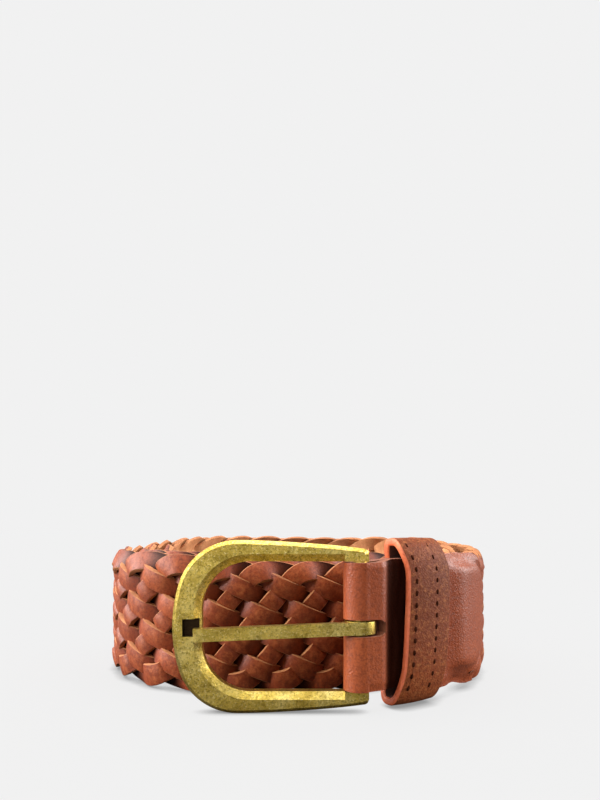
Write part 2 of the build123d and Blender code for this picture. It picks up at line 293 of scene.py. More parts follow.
def fibres(name, tones, rough=0.8):
    """Cut edge or flesh side: fibrous, matt, mottled."""
    mat, nt, bsdf = new_material(name)
    co = object_coord(nt)
    cloud = noise(nt, co, 160.0, 5.0, 0.65)
    colour = ramp(nt, cloud, [(0.3, tones[0]), (0.52, tones[1]), (0.72, tones[2])])
    fine = noise(nt, co, 1300.0, 5.0, 0.7)
    colour = mixed(nt, span(nt, fine, 0.45, 0.75), colour, tones[0])
    nt.links.new(colour, bsdf.inputs["Base Color"])
    nt.links.new(bump(nt, fine, 0.5, 0.0003), bsdf.inputs["Normal"])
    bsdf.inputs["Roughness"].default_value = rough
    return mat


BRASS_TONES = [(0.3, (0.50, 0.33, 0.052)), (0.5, (0.77, 0.56, 0.115)), (0.7, (0.90, 0.71, 0.23))]
PATINA, SPECKLE = (0.33, 0.225, 0.030), (0.20, 0.13, 0.016)
BRIGHT_FLECK = (1.0, 0.83, 0.34)
# Painted shade: the near black brown laid in the recess in the buckle's nose.
RECESS_SHADE = (0.035, 0.020, 0.010)


def antique_brass(name):
    """Brass with an olive patina in patches and speckles, bright flecks and a painted shade in the recess.
    """
    mat, nt, bsdf = new_material(name)
    co = object_coord(nt)
    cloud = noise(nt, co, 110.0, 4.0, 0.6)
    colour = ramp(nt, cloud, BRASS_TONES)
    speck = noise(nt, co, 1500.0, 5.0, 0.75)
    patch = noise(nt, co, 330.0, 5.0, 0.7)
    colour = mixed(nt, span(nt, patch, 0.42, 0.68, 0.0, 0.7), colour, PATINA)
    colour = mixed(nt, span(nt, speck, 0.50, 0.62, 0.0, 0.75), colour, SPECKLE)
    fleck = noise(nt, co, 2100.0, 4.0, 0.7)
    colour = mixed(nt, span(nt, fleck, 0.56, 0.66, 0.0, 0.8), colour, BRIGHT_FLECK)
    # Painted shade: the recess in the nose is darkened to a near black brown.
    colour = mixed(nt, in_recess(nt, co), colour, RECESS_SHADE)
    nt.links.new(colour, bsdf.inputs["Base Color"])
    bsdf.inputs["Metallic"].default_value = 1.0
    nt.links.new(span(nt, speck, 0.35, 0.7, 0.26, 0.46), bsdf.inputs["Roughness"])
    normal = bump(nt, speck, 0.5, 0.0002)
    normal = bump(nt, noise(nt, co, 420.0, 3.0, 0.5), 0.25, 0.0003, normal)
    nt.links.new(normal, bsdf.inputs["Normal"])
    return mat


# The recess for the tongue's tip, in metres
RECESS = {"X": (-0.0279, -0.0238), "Y": (-0.0640, -0.0620), "Z": (0.01875, 0.02335)}


def in_recess(nt, co):
    """1 inside the recess in the buckle's nose, where painted shade darkens the brass."""
    axes = node(nt, "ShaderNodeSeparateXYZ")
    nt.links.new(co, axes.inputs["Vector"])
    near = {}
    for axis, (a, b) in RECESS.items():
        n = node(nt, "ShaderNodeMath", {1: (a + b) / 2, 2: (b - a) / 2}, operation="COMPARE")
        nt.links.new(axes.outputs[axis], n.inputs[0])
        near[axis] = n.outputs[0]
    return product(nt, product(nt, near["X"], near["Y"]), near["Z"])


def waxed_thread(name, colour):
    """Thread with a fine dark twist."""
    mat, nt, bsdf = new_material(name)
    co = object_coord(nt)
    twist = noise(nt, co, 2600.0, 2.0, 0.5)
    dark = tuple(c * 0.45 for c in colour)
    nt.links.new(ramp(nt, twist, [(0.35, dark), (0.6, colour)]), bsdf.inputs["Base Color"])
    nt.links.new(bump(nt, twist, 0.5, 0.0002), bsdf.inputs["Normal"])
    bsdf.inputs["Roughness"].default_value = 0.7
    bsdf.inputs["Specular IOR Level"].default_value = 0.1
    return mat


def hole_shade(name):
    """Painted shade: the dark inside a needle hole, given to small rods sunk in the leather."""
    mat, nt, bsdf = new_material(name)
    co = object_coord(nt)
    colour = ramp(nt, noise(nt, co, 900.0), [(0.3, (0.022, 0.006, 0.003)), (0.7, (0.055, 0.016, 0.008))])
    nt.links.new(colour, bsdf.inputs["Base Color"])
    bsdf.inputs["Roughness"].default_value = 0.9
    bsdf.inputs["Specular IOR Level"].default_value = 0.0
    return mat


LACE_GRAIN = leather("lace_grain", [(0.130, 0.021, 0.005), (0.240, 0.042, 0.0105), (0.350, 0.074, 0.020)],
                     grain=2100.0, rough=(0.42, 0.56), depth=0.18, worn=(0.56, 0.16, 0.05), sheen=0.28,
                     tone_attr=True)
LACE_EDGE = fibres("lace_cut_edge", [(0.26, 0.085, 0.024), (0.40, 0.145, 0.045), (0.52, 0.22, 0.08)])
LACE_FLESH = fibres("lace_flesh_side", [(0.34, 0.125, 0.042), (0.50, 0.205, 0.076), (0.64, 0.31, 0.13)])
TAB_GRAIN = leather("tab_grain", [(0.160, 0.029, 0.007), (0.260, 0.051, 0.013), (0.350, 0.078, 0.021)],
                    grain=2300.0, rough=(0.36, 0.50), depth=0.34, worn=(0.46, 0.13, 0.045), sheen=0.32,
                    tone_attr=True)
TAB_EDGE = fibres("tab_cut_edge", [(0.16, 0.05, 0.025), (0.30, 0.10, 0.05), (0.42, 0.16, 0.08)])
TAB_FLESH = fibres("tab_flesh_side", [(0.10, 0.035, 0.020), (0.18, 0.065, 0.035), (0.25, 0.10, 0.05)])
KEEPER_GRAIN = leather("keeper_grain", [(0.085, 0.018, 0.005), (0.175, 0.036, 0.009), (0.27, 0.068, 0.018)],
                       grain=2600.0, rough=(0.48, 0.68), depth=0.4, worn=(0.40, 0.14, 0.045), sheen=0.12)
KEEPER_EDGE = fibres("keeper_painted_edge",
                     [(0.40, 0.075, 0.026), (0.56, 0.115, 0.040), (0.66, 0.17, 0.065)], rough=0.5)
KEEPER_LINING = fibres("keeper_lining", [(0.04, 0.013, 0.008), (0.07, 0.022, 0.013), (0.10, 0.035, 0.02)])
BRASS = antique_brass("antique_brass")
THREAD = waxed_thread("waxed_thread", (0.15, 0.040, 0.014))
# Painted shade of the needle holes.
HOLE_SHADE = hole_shade("stitch_hole_shade")


# ---------------------------------------------------------------- mesh helpers

SHARP_FOLD = 50.0


def mesh_object(name, verts, faces, mats, indices):
    """New smooth-shaded object. indices gives each face's place in mats."""
    me = bpy.data.meshes.new(name)
    me.from_pydata([tuple(v) for v in verts], [], faces)
    for m in mats:
        me.materials.append(m)
    me.polygons.foreach_set("material_index", indices)
    me.polygons.foreach_set("use_smooth", [True] * len(faces))
    me.update()
    obj = bpy.data.objects.new(name, me)
    bpy.context.collection.objects.link(obj)
    sharpen(me)
    return obj


def sharpen(me):
    """Marks as sharp each edge between two materials, and any that folds by more than SHARP_FOLD degrees."""
    limit = math.cos(math.radians(SHARP_FOLD))
    pairs = {}
    for p in me.polygons:
        for key in p.edge_keys:
            pairs.setdefault(key, []).append(p)
    for e in me.edges:
        sides = pairs.get(e.key, [])
        if len(sides) == 2:
            a, b = sides
            e.use_edge_sharp = a.material_index != b.material_index or a.normal.dot(b.normal) < limit


def paint_tone(obj, tones):
    """Gives each vertex its tone, from 0 (dark with painted shade) to 1 (worn and light)."""
    attr = obj.data.attributes.new("tone", "FLOAT", "POINT")
    attr.data.foreach_set("value", tones)


def tube_mesh(name, rings, mats, face_mats, closed=False):
    """Sweeps equal rings of points into a closed skin. face_mats gives each ring side's place in mats."""
    n, k = len(rings), len(rings[0])
    verts = [p for ring in rings for p in ring]
    faces, idx = [], []
    for i in range(n if closed else n - 1):
        j = (i + 1) % n
        for a in range(k):
            b = (a + 1) % k
            faces.append((i * k + a, i * k + b, j * k + b, j * k + a))
            idx.append(face_mats[a])
    if not closed:
        faces.append(tuple(range(k - 1, -1, -1)))
        faces.append(tuple((n - 1) * k + a for a in range(k)))
        idx += [face_mats[-1], face_mats[-1]]
    return mesh_object(name, verts, faces, mats, idx)


# ---------------------------------------------------------------- braid

def soft_abs(x, turn):
    """|x| with a rounded turn."""
    return abs(x) if abs(x) > turn else (x * x + turn ** 2) / (2 * turn)


def lace_local(q):
    """Along, level (0 at the top) and lift of a lace at step q. Twenty steps make a full zigzag."""
    mean, skew = (DOWN_STEP + UP_STEP) / 2, (DOWN_STEP - UP_STEP) / 2
    turns, x = divmod(q + 5.0, 20.0)
    x -= 5.0
    level = soft_abs(x, HEAD_TURN) if x < 5.0 else 10.0 - soft_abs(x - 10.0, FOOT_TURN)
    along = mean * x + skew * level
    if -1.0 < x < 1.0:
        lift = -math.sin(math.pi / 2 * x)
    elif 9.0 < x < 11.0:
        lift = math.sin(math.pi / 2 * (x - 10.0))
    else:
        lift = math.cos(math.pi * x) * (1.0 if 1.0 <= x <= 9.0 else -1.0)
    lift = math.tanh(1.4 * lift) / math.tanh(1.4)
    return turns * 20.0 * mean + along, level, lift


def wobble(seed, q):
    """Slow, smooth unevenness of hand plaiting, about -1 to 1."""
    r = random.Random(seed)
    return sum(math.sin(q * r.uniform(0.25, 0.9) + r.uniform(0, 6.28)) for _ in range(3)) / 2.2


def coil_rise(s):
    """The turns stand proud at the back of the coil, the inner ones most of all."""
    h = math.degrees(plan(s)[2])
    turn, h = min(2, int(h // 360)), h % 360.0
    back = smooth(h, 62.0, 105.0) * smooth(h, 245.0, 285.0, 1.0, 0.0)
    left = math.exp(-((h - LEFT_HEADING) / 26.0) ** 2)
    return back * BACK_RISE[turn] + left * LEFT_RISE[turn]


def lattice_stretch(s):
    """The braid is pulled longer at the left of the coil."""
    return smooth(s, PULLED_FROM, PULLED_TO, 0.0, PULLED_BY)


def braid_squeeze(s):
    """Width factor and middle height. The braid is narrower in the tab, behind the window and in the tip."""
    tucked = smooth(s, TUCKED_UNTIL, FULL_FROM, 1.0, 0.0)
    window = smooth(s, WINDOW_FROM, WINDOW_FROM + 20.0) * smooth(s, WINDOW_TO - 28.0, WINDOW_TO, 1.0, 0.0)
    tip = smooth(s, TIP_START - 6.0, TIP_START + 8.0)
    return 1.0 - 0.28 * tucked - 0.06 * window - 0.20 * tip, BRAID_MID_Z + 1.0 * tucked - 1.1 * window


def lace_centre(i, q):
    """Length, offset, height and lift of the middle of lace i at step q."""
    s, level, lift = lace_local(q)
    s += LACE_SPACING * i
    s += lattice_stretch(s)
    flat = 1.0 - 0.35 * (1.0 - smooth(s, 38.0, 46.0)) - 0.35 * smooth(s, TIP_START - 4, TIP_START + 4)
    squeeze, mid = braid_squeeze(s)
    z = mid + (5.0 - level) * LEVEL * squeeze + coil_rise(s) + 0.25 * wobble(50 + i, q)
    off = WEAVE_LIFT * lift * flat * (1.0 + 0.12 * wobble(20 + i, q))
    return s, off, z, lift


def lace_section(width, bulge):
    """Points round a lace as (across, up): the crowned grain face, an edge, the flesh face, an edge."""
    t, c = LACE_T / 2, LACE_CUT
    grain = (-1.0, -0.6, -0.2, 0.2, 0.6, 1.0)
    top = [(u * (width - c), t + bulge * (1 - u * u)) for u in grain]
    flesh = [(u * width, -t + 0.5 * bulge * (1 - u * u)) for u in (1.0, 0.35, -0.35, -1.0)]
    return [(-width, t - c)] + top + [(width, t - c)] + flesh


# Materials of the section's sides: 0 grain, 1 cut edge, 2 flesh
LACE_SIDES = [1] + [0] * 5 + [1, 1] + [2] * 3 + [1]


def lace_path(i):
    """Steps along a lace inside the braid, as (step, length, offset, height, lift)."""
    q, path = -20.0 * (2 + i / LACES), []
    while True:
        s, off, z, lift = lace_centre(i, q)
        if s > BRAID_END:
            return path
        if s >= BRAID_START:
            path.append((q, s, off, z, lift))
        q += 1.0 / LACE_STEPS


def lace(i):
    """One lace of the braid, from inside the tab to inside the sewn tip."""
    path = lace_path(i)
    points = [place(s, off, z) for _, s, off, z, _ in path]
    rings, tones = [], []
    for k, (q, s, off, z, lift) in enumerate(path):
        along = (points[min(k + 1, len(points) - 1)] - points[max(k - 1, 0)]).normalized()
        x = (q + 5.0) % 20.0 - 5.0
        top, foot = math.exp(-(x / TURN_REACH) ** 2), math.exp(-((x - 10.0) / TURN_REACH) ** 2)
        roll = -LACE_ROLL * (1.0 - top - foot) * max(lift, 0.0)
        a = math.radians(EDGE_TILT_TOP * top - EDGE_TILT_FOOT * foot + roll + 4.0 * wobble(60 + i, q))
        n = outward(s) * math.cos(a) + Vector((0, 0, 1)) * math.sin(a)
        n = (n - along * n.dot(along)).normalized()
        w = along.cross(n)
        pulled = math.exp(-((s - PULLED_MID) / PULLED_REACH) ** 2)
        wider = 1.0 + 0.05 * wobble(80 + i, q) + 0.10 * (top + foot) + 0.15 * pulled
        width = LACE_W / 2 * wider
        section = lace_section(width, LACE_CROWN * (1.0 + max(lift, 0.0)))
        rings.append([points[k] + (w * u + n * v) * MM for u, v in section])
        # Painted shade: a lace darkens where it dips under its neighbour and towards its sides. Where it
        # rides on top it shows wear.
        tones += [0.5 + 0.5 * lift - 0.22 * abs(u / width) ** 4 for u, _ in section]
    obj = tube_mesh(f"lace_{i + 1:02d}", rings, [LACE_GRAIN, LACE_EDGE, LACE_FLESH], LACE_SIDES)
    paint_tone(obj, [max(0.0, min(1.0, v)) for v in tones])
    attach(obj, "strap")
    return obj


# ---------------------------------------------------------------- slabs of leather

def slab(name, outer, inner, nu, nv, mats, keep=lambda i, j: True):
    """Closed piece between two surfaces, each a function of grid place (i, j), with walls round its rim."""
    verts, faces, idx, index = [], [], [], {}

    def vert(layer, i, j):
        key = (layer, i, j)
        if key not in index:
            index[key] = len(verts)
            verts.append(outer(i, j) if layer == 0 else inner(i, j))
        return index[key]

    def has(i, j):
        return 0 <= i < nu and 0 <= j < nv and keep(i, j)

    for i in range(nu):
        for j in range(nv):
            if not has(i, j):
                continue
            c = [(i, j), (i + 1, j), (i + 1, j + 1), (i, j + 1)]
            faces.append([vert(0, *p) for p in c])
            faces.append([vert(1, *p) for p in reversed(c)])
            idx += [0, 1]
            beyond = [(i, j - 1), (i + 1, j), (i, j + 1), (i - 1, j)]
            for k, other in enumerate(beyond):
                if not has(*other):
                    a, b = c[k], c[(k + 1) % 4]
                    faces.append([vert(0, *b), vert(0, *a), vert(1, *a), vert(1, *b)])
                    idx.append(2)
    return mesh_object(name, verts, faces, mats, idx)


MID_TAB_S = 12.0


def tab_skin(s):
    """Half thickness of the folded tab: full over the bar, pinched behind it, thick over the braid."""
    if s < 20.0:
        return smooth(s, 3.6, 8.2, FOLD_R, TAB_HALF_T)
    if s < 40.0:
        return smooth(s, 25.0, 34.0, TAB_HALF_T, TAB_OVER_BRAID)
    return smooth(s, 40.0, TAB_END_S, TAB_OVER_BRAID, TAB_OVER_BRAID - 0.6)


def tab_core(s):
    """Half the gap between the tab's two layers: round the bar, almost closed, then open for the braid."""
    if s < MID_TAB_S:
        return smooth(s, 0.0, 7.0, BORE_R, LAYER_GAP)
    return smooth(s, 26.0, 32.0, LAYER_GAP, BRAID_T / 2 - 0.2)


def over_braid(s):
    """1 where the tab lies over the braid."""
    return smooth(s, 26.0, 34.0)


def tab_edges(s):
    """Lowest and highest z of the tab at length s."""
    flare = 0.6 * math.exp(-((s + 3.0) / 2.5) ** 2)
    top = smooth(s, 2.0, 9.0, FOLD_Z1, TAB_TOP_Z) + smooth(s, 15.0, 27.0, 0.0, TAB_Z1 - TAB_TOP_Z)
    wrap = smooth(s, 16.0, 24.0)
    low = smooth(s, 6.0, 26.0, FOLD_Z0, TAB_Z0) - flare - 2.2 * wrap - smooth(s, 32.0, 38.0, 0.0, 1.2)
    return low + smooth(s, 39.0, TAB_END_S, 0.0, 2.6), top + 2.7 * wrap


# The tab's grid: columns from the rounded end to the bar, round the bar, and along the slot; rows upwards
TAB_COLS, BEND_COLS = 84, 14
SLOT_COLS = 14
ROWS_BELOW, SLOT_ROWS, ROWS_ABOVE = 16, 6, 18
TAB_ROWS = ROWS_BELOW + SLOT_ROWS + ROWS_ABOVE


def tab_row_z(s, j):
    """Height of grid row j: rows near the tongue's slot follow its rounded outline."""
    z0, z1 = tab_edges(s)
    mid, half = (SLOT_Z0 + SLOT_Z1) / 2, (SLOT_Z1 - SLOT_Z0) / 2
    if s < SLOT_END:
        share = max(0.0, s - SLOT_STRAIGHT) / (SLOT_END - SLOT_STRAIGHT)
        half *= math.sqrt(max(0.10, 1 - share ** 2))
    if j <= ROWS_BELOW:
        return z0 + (mid - half - z0) * j / ROWS_BELOW
    if j <= ROWS_BELOW + SLOT_ROWS:
        return mid - half + 2 * half * (j - ROWS_BELOW) / SLOT_ROWS
    return mid + half + (z1 - mid - half) * (j - ROWS_BELOW - SLOT_ROWS) / ROWS_ABOVE


def tab_end(zeta):
    """Length at which the tab ends, at height zeta from -1 to 1."""
    return TAB_END_S - TAB_ROUND * (1 - max(0.0, 1 - abs(0.99 * zeta) ** TAB_SQUARE) ** (1 / TAB_SQUARE))


def tab_rim(a, rho):
    """Length and height at angle a round the tab's end, at the share rho of the way out to its rim."""
    s = TAB_END_S - TAB_ROUND * (1 - rho * math.cos(a) ** (2 / TAB_SQUARE))
    z0, z1 = tab_edges(s)
    zeta = rho * math.copysign(abs(math.sin(a)) ** (2 / TAB_SQUARE), a)
    return s, (z0 + z1) / 2 + (z1 - z0) / 2 * zeta


def tab_spot(i, j):
    """Grid place as (length, side, bend angle, height, distance from the rim)."""
    row, low, high = tab_row_z(20.0, j), TAB_Z0, tab_row_z(20.0, TAB_ROWS)
    zeta = min(1.0, max(-1.0, 2 * (row - low) / (high - low) - 1))
    s_end = tab_end(zeta)
    if i < TAB_COLS:
        k, side, bend = TAB_COLS - i, 1, 0.0
    elif i <= TAB_COLS + BEND_COLS:
        k, side, bend = 0, 0, math.pi * (i - TAB_COLS) / BEND_COLS
    else:
        k, side, bend = i - TAB_COLS - BEND_COLS, -1, 0.0
    if k <= SLOT_COLS:
        s = SLOT_END * k / SLOT_COLS
    else:
        s = SLOT_END + (s_end - SLOT_END) * (k - SLOT_COLS) / (TAB_COLS - SLOT_COLS)
    along = max(0.0, s - (TAB_END_S - TAB_ROUND)) / TAB_ROUND
    rho = (along ** TAB_SQUARE + abs(zeta) ** TAB_SQUARE) ** (1 / TAB_SQUARE)
    return s, side, bend, tab_row_z(s, j), (1 - rho) * (TAB_Z1 - TAB_Z0) / 2


def tab_room(s, inset):
    """Half the gap between the tab's layers. They meet at the rim until the braid fills the tab."""
    met = smooth(s, 36.0, 44.0, 1.0, 0.0) * smooth(inset, 0.4, 4.0, 1.0, 0.0)
    return LAYER_GAP + (tab_core(s) - LAYER_GAP) * (1.0 - met)


def tab_outer(s, z, inset):
    """Offset of the tab's grain face: padded over the braid, creased inside the keeper, lower at the rim."""
    over = over_braid(s)
    d = tab_skin(s) - tab_core(s) + tab_room(s, inset) if s > MID_TAB_S else tab_skin(s)
    d += over * (0.5 - 0.5 * smooth(inset, 2.2, 5.0, 1.0, 0.0) - 0.5 * smooth(inset, 0.0, 1.4, 1.0, 0.0))
    d -= over * 0.4 * math.exp(-((inset - TAB_GROOVE) / 0.5) ** 2)
    crease = smooth(s, 7.0, 9.0) * smooth(s, 24.0, 27.0, 1.0, 0.0)
    d += crease * 0.16 * math.sin(s * 2.3 + 1.4 * math.sin(z * 0.31) + 0.6 * math.sin(z * 1.1))
    d -= 0.3 * math.exp(-(inset / 0.25) ** 2)
    return d + 0.08 * wobble(11, s * 0.35 + z * 0.1)


def tab_surface(i, j, inner):
    """World point on the tab's inner or outer face at a grid place."""
    s, side, bend, z, inset = tab_spot(i, j)
    if side == 0:
        r = tab_core(0) if inner else FOLD_R + 0.05 * wobble(7, z * 0.4)
        x, y, h = plan(0.0)
        a = h - math.pi / 2 - bend
        return Vector(((x + r * math.cos(a)) * MM, (y + r * math.sin(a)) * MM, z * MM))
    if inner and s > MID_TAB_S:
        d = tab_room(s, inset) * (1.0 - 0.25 * over_braid(s) * smooth(inset, 0.0, 3.0, 1.0, 0.0))
    else:
        d = tab_core(s) if inner else tab_outer(s, z, inset)
    return place(s, side * d, z)


PLAIN_TONE = 0.6


def chape_tone(co):
    """Tone at a point of the tab: 0, a painted shadow without wear, from behind the fold to past the keeper,
    where the keeper's shade falls; plain elsewhere.
    """
    mid = Vector((BAR_X - TAB_R * math.sin(math.radians(START_HEADING)),
                  BAR_Y + TAB_R * math.cos(math.radians(START_HEADING)))) * MM
    s = (math.degrees(math.atan2(co.x - mid.x, mid.y - co.y)) - START_HEADING) * math.radians(TAB_R)
    # Painted shadow of the fold and keeper, from behind the fold to past the keeper.
    keeper_shadow = smooth(s, 4.0, 6.2) * smooth(s, 22.0, 27.0, 1.0, 0.0)
    return PLAIN_TONE * (1.0 - keeper_shadow)


def tab_keeps(i, j):
    """False where the tongue's slot is."""
    in_rows = ROWS_BELOW <= j < ROWS_BELOW + SLOT_ROWS
    return not (in_rows and TAB_COLS - SLOT_COLS <= i < TAB_COLS + BEND_COLS + SLOT_COLS)


def chape():
    """Leather folded round the bar, from the front's rounded end to the back's."""
    obj = slab("chape_leather", lambda i, j: tab_surface(i, j, False), lambda i, j: tab_surface(i, j, True),
               2 * TAB_COLS + BEND_COLS, TAB_ROWS, [TAB_GRAIN, TAB_FLESH, TAB_EDGE], tab_keeps)
    paint_tone(obj, [chape_tone(v.co) for v in obj.data.vertices])
    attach(obj, "strap")
    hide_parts("chape")
    return obj


# ---------------------------------------------------------------- keeper

KEEPER_HALF_H = (KEEPER_Z1 - KEEPER_Z0 - KEEPER_WALL) / 2
KEEPER_HALF_W = (KEEPER_IN + KEEPER_OUT - KEEPER_WALL) / 2
KEEPER_MID_OFF = (KEEPER_OUT - KEEPER_IN) / 2
KEEPER_MID_Z = (KEEPER_Z0 + KEEPER_Z1) / 2
FRONT_POWER, BACK_POWER, HEIGHT_POWER = 2 / 2.7, 2 / 4.0, 2 / 3.0
KEEPER_RINGS = 150
EDGE_POINTS, FACE_COLS = 5, 4


def keeper_path(t):
    """Middle of the keeper's wall as (offset, height, outward angle), for t from 0 to 1: a squared oval."""
    def at(a):
        c, s = math.cos(a), math.sin(a)
        power = FRONT_POWER if c > 0 else BACK_POWER
        wide = KEEPER_HALF_W + (KEEPER_BOW if c > 0 else 0.0)
        height = KEEPER_HALF_H * math.copysign(abs(s) ** HEIGHT_POWER, s)
        return wide * math.copysign(abs(c) ** power, c), height

    a = 2 * math.pi * t
    (x0, z0), (x1, z1) = at(a - 0.004), at(a + 0.004)
    x, z = at(a)
    return x, z, math.atan2(-(x1 - x0), z1 - z0)


def keeper_place(off, z, along):
    """World point on the keeper from ring offset, ring height and place across its width."""
    lean = 0.05 * (z - 6.0) - smooth(z, 12.0, 21.0, 0.0, 2.2) - smooth(-z, 11.0, 21.0, 0.0, 1.2)
    return place(KEEPER_S + along + lean, KEEPER_MID_OFF + off, KEEPER_MID_Z + z)


def keeper_face(z, out):
    """Offset of the keeper's front face at ring height z, moved outwards."""
    s = min(0.98, abs(z) / KEEPER_HALF_H) ** (1 / HEIGHT_POWER)
    return (KEEPER_HALF_W + KEEPER_BOW) * (1 - s * s) ** (FRONT_POWER / 2) + KEEPER_WALL / 2 + out


def keeper_section():
    """Points round the keeper's strip as (across, up), and each side's material: grain, edge or lining."""
    flat_x, flat_y, r = KEEPER_W / 2 - KEEPER_EDGE_R, KEEPER_WALL / 2 - KEEPER_EDGE_R, KEEPER_EDGE_R
    corners = []
    for x, y, start in ((flat_x, flat_y, 0), (-flat_x, flat_y, 90),
                        (-flat_x, -flat_y, 180), (flat_x, -flat_y, 270)):
        turns = [math.radians(start + 90 * k / (EDGE_POINTS - 1)) for k in range(EDGE_POINTS)]
        corners.append([(x + r * math.cos(a), y + r * math.sin(a)) for a in turns])
    points, mats = [], []
    for corner, arc in enumerate(corners):
        points += arc
        face = 0 if corner in (0, 1) else 2
        if corner in (0, 2):
            mats += [1] * (EDGE_POINTS - 2) + [face] * (FACE_COLS + 1)
            (x0, y0), (x1, y1) = arc[-1], corners[corner + 1][0]
            for c in range(1, FACE_COLS):
                f = c / FACE_COLS
                crown = 0.12 * math.sin(math.pi * f) if corner == 0 else 0.0
                points.append((x0 + (x1 - x0) * f, y0 + (y1 - y0) * f + crown))
        else:
            mats += [face] + [1] * (EDGE_POINTS - 1)
    return points, mats


def keeper():
    """Leather ring with rounded, painted edges."""
    section, mats = keeper_section()
    rings = []
    for i in range(KEEPER_RINGS):
        off, z, a = keeper_path(i / KEEPER_RINGS)
        swell = 0.06 * wobble(31, i * 0.3)
        rings.append([keeper_place(off + (v + swell) * math.cos(a), z + (v + swell) * math.sin(a), u)
                      for u, v in section])
    obj = tube_mesh("keeper_loop", rings, [KEEPER_GRAIN, KEEPER_EDGE, KEEPER_LINING], mats, closed=True)
    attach(obj, "keeper")
    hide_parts("keeper")
    return obj


# ---------------------------------------------------------------- stitches and sewn tip

def capsule(verts, faces, a, b, r, sides=8, caps=3):
    """Adds a round-ended rod from a to b."""
    axis = (b - a).normalized()
    side = axis.orthogonal().normalized()
    other = axis.cross(side)
    rows = [(a, -math.pi / 2 + math.pi / 2 * k / caps) for k in range(1, caps + 1)]
    rows += [(b, math.pi / 2 * k / caps) for k in range(caps)]
    base = len(verts)
    verts.append(a - axis * r)
    for centre, lat in rows:
        for k in range(sides):
            ang = 2 * math.pi * k / sides
            radial = side * math.cos(ang) + other * math.sin(ang)
            verts.append(centre + axis * r * math.sin(lat) + radial * r * math.cos(lat))
    verts.append(b + axis * r)
    top = len(verts) - 1
    for k in range(sides):
        j = (k + 1) % sides
        faces.append((base, base + 1 + j, base + 1 + k))
        faces.append((top, top - sides + k, top - sides + j))
        for row in range(len(rows) - 1):
            p = base + 1 + row * sides
            faces.append((p + k, p + j, p + sides + j, p + sides + k))


def stitches(name, runs, radius, mat, body, replaced=()):
    """One piece holding a row of small rods, each from a to b."""
    verts, faces = [], []
    for a, b in runs:
        capsule(verts, faces, a, b, radius * MM)
    obj = mesh_object(name, verts, faces, [mat], [0] * len(faces))
    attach(obj, body)
    if replaced:
        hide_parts(*replaced)
    return obj


def keeper_rods(along, shift, length, sink):
    """A row of upright rods on the keeper's front face, sunk into it."""
    rods = []
    for k in range(KEEPER_STITCHES):
        z = KEEPER_PITCH * (k - (KEEPER_STITCHES - 1) / 2) + shift
        ends = (z - length / 2, z + length / 2)
        rods.append(tuple(keeper_place(keeper_face(v, -sink), v, along) for v in ends))
    return rods


def keeper_stitches():
    """Two rows of stitches, with a needle hole between each stitch and the next, drawn as a small dark rod
    of painted shade.
    """
    threads = [rod for row in KEEPER_ROWS for rod in keeper_rods(row, 0.0, STITCH_L, 0.16)]
    # Painted shade: each needle hole is a small dark rod.
    holes = [rod for row in KEEPER_ROWS for rod in keeper_rods(row, KEEPER_PITCH / 2, HOLE_L, 0.12)]
    return (stitches("keeper_thread", threads, THREAD_R, THREAD, "keeper", ["keeper_stitching"]),
            stitches("keeper_stitch_holes", holes, HOLE_R, HOLE_SHADE, "keeper"))


def chape_stitches():
    """A row of stitches in the groove that follows the tab's rounded end."""
    rho = 1 - 2 * TAB_GROOVE / (TAB_Z1 - TAB_Z0)
    rim = [tab_rim(math.radians(a / 4), rho) for a in range(-352, 353)]
    walked, spots = 0.0, {}
    for p, q in zip(rim, rim[1:]):
        walked += math.dist(p, q)
        count, phase = divmod(walked, TAB_STITCH_PITCH)
        if phase < STITCH_SHARE * TAB_STITCH_PITCH:
            spots.setdefault(count, []).append(place(q[0], tab_outer(*q, TAB_GROOVE) - 0.08, q[1]))
    runs = [(row[0], row[-1]) for row in spots.values() if len(row) > 1]
    stitches("chape_thread", runs, THREAD_R, THREAD, "strap", ["chape_stitching"])


def tip_skin(s):
    """Half thickness of the sewn tip."""
    return smooth(s, TIP_FLAT, TIP_FLAT + 8, BRAID_T / 2 + 1.3, 1.7)


def tip_core(s):
    """Half the gap between the tip's two leathers: open for the braid, then almost closed."""
    return smooth(s, TIP_FLAT + 1.0, TIP_FLAT + 8, BRAID_T / 2 - 0.15, 0.03)


TIP_COLS, TIP_ROWS = 52, 22
TIP_HALF = (TIP_Z1 - TIP_Z0) / 2
TIP_MID_Z = (TIP_Z0 + TIP_Z1) / 2


def tip_layer(name, sign, replaced):
    """One leather of the stitched tip, over the braid's inner end."""
    def spot(i, j):
        zeta = 2.0 * j / TIP_ROWS - 1
        s_end = BELT_END - TIP_ROUND * (1 - math.sqrt(max(0.0, 1 - (0.985 * zeta) ** 2)))
        s = TIP_START + (s_end - TIP_START) * i / TIP_COLS
        rho = math.hypot(max(0.0, s - (BELT_END - TIP_ROUND)) / TIP_ROUND, zeta)
        return s, TIP_MID_Z + zeta * TIP_HALF, min((1 - rho) * TIP_HALF, s - TIP_START + 0.6)

    def outer(i, j):
        s, z, inset = spot(i, j)
        groove = 0.3 * math.exp(-((inset - TIP_GROOVE) / 0.5) ** 2)
        d = tip_skin(s) - groove - 0.3 * math.exp(-(inset / 0.3) ** 2)
        return place(s, sign * d, z + coil_rise(s) * 0.5)

    def inner(i, j):
        s, z, _ = spot(i, j)
        return place(s, sign * tip_core(s), z + coil_rise(s) * 0.5)

    first, second = (outer, inner) if sign > 0 else (inner, outer)
    mats = [TAB_GRAIN, TAB_FLESH, TAB_EDGE] if sign > 0 else [TAB_FLESH, TAB_GRAIN, TAB_EDGE]
    obj = slab(name, first, second, TIP_COLS, TIP_ROWS, mats)
    paint_tone(obj, [PLAIN_TONE] * len(obj.data.vertices))
    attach(obj, "strap")
    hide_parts(replaced)


